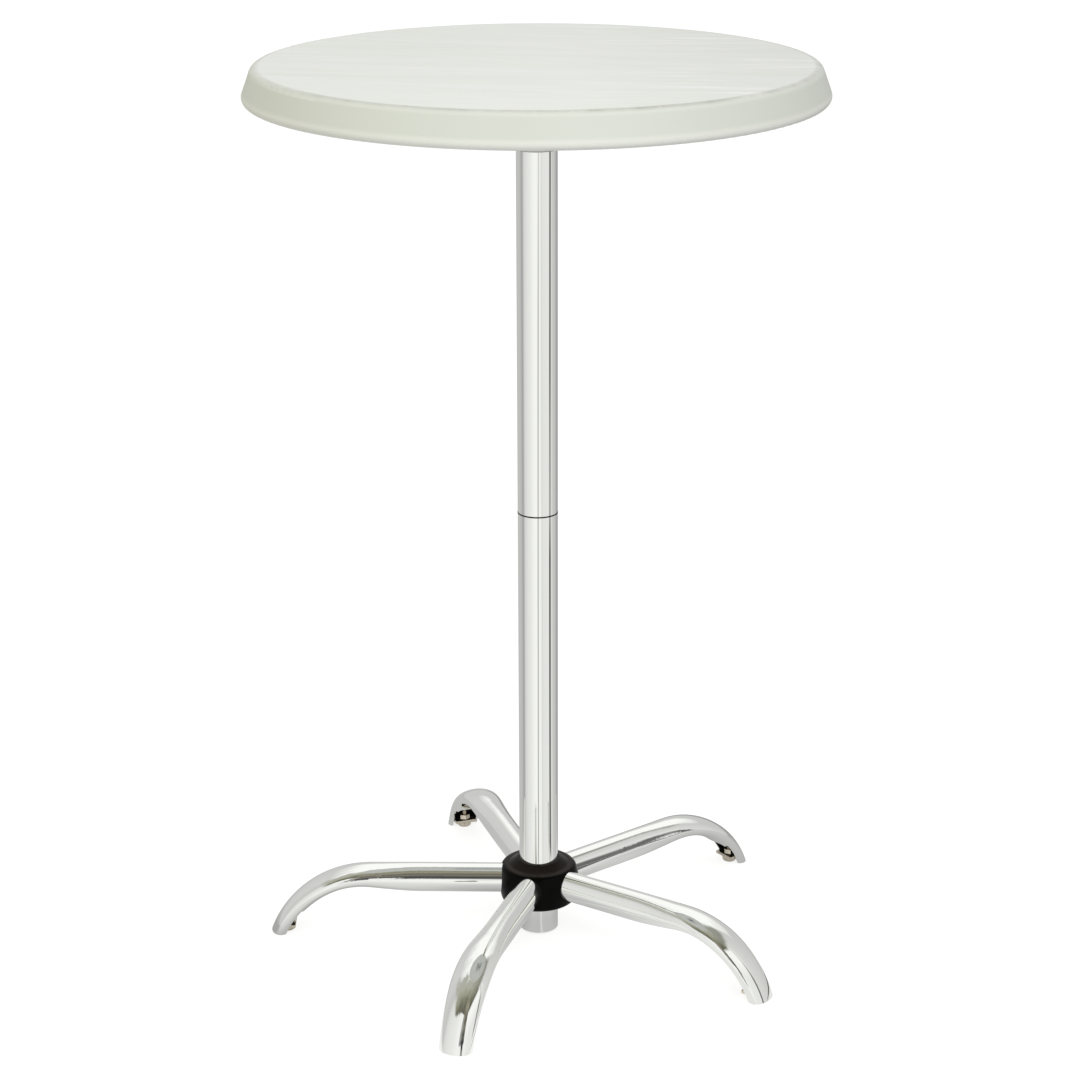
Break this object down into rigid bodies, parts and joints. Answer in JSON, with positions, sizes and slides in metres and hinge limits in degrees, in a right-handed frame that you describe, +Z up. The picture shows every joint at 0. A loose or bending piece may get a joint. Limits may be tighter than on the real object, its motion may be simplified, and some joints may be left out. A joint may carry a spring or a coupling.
{
  "type": "folding bar table",
  "caption": "Round standing-height bar table: a moulded top tilts upright on a clamped pivot over a screwed two-part tube pole, a moulded hub and curved tube legs with levelling glides.",
  "frame": {"origin": "on the floor, on the axis of the pole", "axes": "+Z up along the pole, one leg along -X, the top tilts towards +Y"},
  "size_m": [0.697, 0.694, 1.13],
  "materials": {
    "moulded_top": "satin, faintly streaked",
    "chrome_tube": "polished chrome plate on steel",
    "hub_plastic": "satin gloss",
    "nickel": "nickel plate",
    "zinc_steel": "zinc plate",
    "cast_aluminium": "cast, tumbled",
    "black_plastic": "matt",
    "brass": "turned"
  },
  "bodies": {
    "base": {"upper_tube": "chrome_tube", "lower_tube": "chrome_tube", "leg_1": "chrome_tube", "leg_2": "chrome_tube", "leg_3": "chrome_tube", "leg_4": "chrome_tube", "leg_5": "chrome_tube", "hub": "hub_plastic", "foot_bracket_1": "nickel", "foot_bracket_2": "nickel", "foot_bracket_3": "nickel", "foot_bracket_4": "nickel", "foot_bracket_5": "nickel", "head_screw": "zinc_steel", "pivot_bolt": "zinc_steel", "pivot_nut": "zinc_steel", "pivot_washers": "zinc_steel", "clamp_bolt": "zinc_steel", "clamp_washers": "zinc_steel", "upper_insert": "zinc_steel", "lower_insert": "zinc_steel", "joint_stud": "zinc_steel", "leg_screws": "zinc_steel", "leg_nuts": "zinc_steel", "hub_set_screws": "zinc_steel", "column_head": "cast_aluminium", "seam_ring": "black_plastic", "end_plug": "black_plastic", "friction_discs": "black_plastic"},
    "top": {"table_top": "moulded_top", "hinge_plate": "zinc_steel", "plate_screws": "zinc_steel"},
    "knob": {"star_knob": "black_plastic", "knob_insert": "brass"},
    "foot_1": {"glide_1": "nickel"},
    "foot_2": {"glide_2": "nickel"},
    "foot_3": {"glide_3": "nickel"},
    "foot_4": {"glide_4": "nickel"},
    "foot_5": {"glide_5": "nickel"}
  },
  "joints": [
    {"name": "top_tilt", "type": "hinge", "parent": "base", "child": "top", "pos_m": [0, 0.032, 1.0799], "axis": [-1, 0, 0], "range_deg": [0, 90]},
    {"name": "knob_turn", "type": "hinge", "parent": "base", "child": "knob", "pos_m": [0, -0.002, 1.0799], "axis": [1, 0, 0], "range_deg": [0, 360]},
    {"name": "glide_1_adjust", "type": "slide", "parent": "base", "child": "foot_1", "axis": [0, 0, -1], "range_m": [0, 0.008]},
    {"name": "glide_2_adjust", "type": "slide", "parent": "base", "child": "foot_2", "axis": [0, 0, -1], "range_m": [0, 0.008]},
    {"name": "glide_3_adjust", "type": "slide", "parent": "base", "child": "foot_3", "axis": [0, 0, -1], "range_m": [0, 0.008]},
    {"name": "glide_4_adjust", "type": "slide", "parent": "base", "child": "foot_4", "axis": [0, 0, -1], "range_m": [0, 0.008]},
    {"name": "glide_5_adjust", "type": "slide", "parent": "base", "child": "foot_5", "axis": [0, 0, -1], "range_m": [0, 0.008]}
  ]
}
